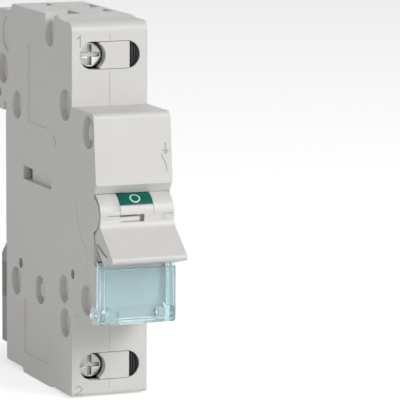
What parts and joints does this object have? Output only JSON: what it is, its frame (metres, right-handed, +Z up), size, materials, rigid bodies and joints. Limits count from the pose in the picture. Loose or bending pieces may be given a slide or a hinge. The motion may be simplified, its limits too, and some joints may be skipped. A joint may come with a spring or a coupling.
{
  "type": "din rail switch disconnector",
  "caption": "Single-module switch disconnector with a front toggle lever, hinged label window, screw terminals above and below, and a sliding rail clip at the back.",
  "frame": {"origin": "centre of the rear face that rests on the rail: middle of the width, on the rail plane, at the rail's mid height", "axes": "+X right seen from the front, -Y out of the front, +Y into the rail, +Z up"},
  "size_m": [0.0176, 0.0737, 0.083],
  "materials": {
    "housing_plastic": "light warm grey moulded plastic, fine matt",
    "lever_plastic": "light grey moulded plastic",
    "green_plastic": "dark green moulded plastic with a pale ring",
    "clear_window": "clear pale blue plastic",
    "clip_plastic": "mid grey moulded plastic",
    "insert_plastic": "black moulded plastic",
    "carriage_plastic": "ivory moulded plastic",
    "rivet_plastic": "light grey plastic rivet",
    "pin_steel": "bright ground steel",
    "screw_steel": "zinc plated steel",
    "cage_steel": "yellow zinc plated steel",
    "spring_steel": "spring wire",
    "copper": "copper strip",
    "contact_silver": "silver contact"
  },
  "bodies": {
    "housing": {"left_housing": "housing_plastic", "right_housing": "housing_plastic", "housing_rivet_upper": "rivet_plastic", "housing_rivet_lower": "rivet_plastic", "lever_pivot_pin": "pin_steel", "upper_cover_plate": "housing_plastic", "lower_cover_plate": "housing_plastic", "upper_opening_insert": "insert_plastic", "lower_opening_insert": "insert_plastic", "upper_contact_strip": "copper", "lower_contact_strip": "copper", "upper_contact_tip": "contact_silver", "lower_contact_tip": "contact_silver", "rail_clip_spring": "spring_steel", "opening_spring": "spring_steel"},
    "lever": {"toggle_lever": "lever_plastic", "position_indicator": "green_plastic"},
    "carriage": {"contact_carriage": "carriage_plastic", "contact_spring": "spring_steel"},
    "bridge": {"contact_bridge": "copper", "bridge_tip_rear": "contact_silver", "bridge_tip_front": "contact_silver"},
    "window": {"label_window": "clear_window"},
    "clip": {"rail_clip": "clip_plastic"},
    "upper_screw": {"upper_terminal_screw": "screw_steel"},
    "lower_screw": {"lower_terminal_screw": "screw_steel"},
    "upper_cage": {"upper_terminal_cage": "cage_steel"},
    "lower_cage": {"lower_terminal_cage": "cage_steel"}
  },
  "joints": [
    {"name": "lever_turn", "type": "hinge", "parent": "housing", "child": "lever", "pos_m": [0, -0.0564, 0.0009], "axis": [-1, 0, 0], "range_deg": [0, 80]},
    {"name": "carriage_slide", "type": "slide", "parent": "housing", "child": "carriage", "axis": [0, 0, -1], "range_m": [0, 0.00645], "deforming": ["opening_spring"]},
    {"name": "bridge_float", "type": "slide", "parent": "carriage", "child": "bridge", "axis": [0, 0, 1], "range_m": [0, 0.0012], "stiffness_N_per_m": 1500, "springref_m": -0.001, "deforming": ["contact_spring"]},
    {"name": "window_turn", "type": "hinge", "parent": "housing", "child": "window", "pos_m": [0, -0.0574, -0.0209], "axis": [1, 0, 0], "range_deg": [0, 80]},
    {"name": "clip_slide", "type": "slide", "parent": "housing", "child": "clip", "axis": [0, 0, -1], "range_m": [0, 0.004], "stiffness_N_per_m": 800, "springref_m": -0.002, "deforming": ["rail_clip_spring"]},
    {"name": "upper_screw_turn", "type": "hinge", "parent": "housing", "child": "upper_screw", "pos_m": [-0.0039, -0.04, 0.0334], "axis": [0, -1, 0], "range_deg": [0, 1800]},
    {"name": "lower_screw_turn", "type": "hinge", "parent": "housing", "child": "lower_screw", "pos_m": [-0.0039, -0.04, -0.0349], "axis": [0, -1, 0], "range_deg": [0, 1800]},
    {"name": "upper_cage_slide", "type": "slide", "parent": "housing", "child": "upper_cage", "axis": [0, -1, 0], "range_m": [0, 0.004]},
    {"name": "lower_cage_slide", "type": "slide", "parent": "housing", "child": "lower_cage", "axis": [0, -1, 0], "range_m": [0, 0.004]}
  ],
  "couplings": [
    {"joint": "carriage_slide", "follows": "lever_turn", "m_per_rad": 0.0046},
    {"joint": "upper_screw_turn", "follows": "upper_cage_slide", "rad_per_m": 7853.9},
    {"joint": "lower_screw_turn", "follows": "lower_cage_slide", "rad_per_m": 7853.9}
  ]
}
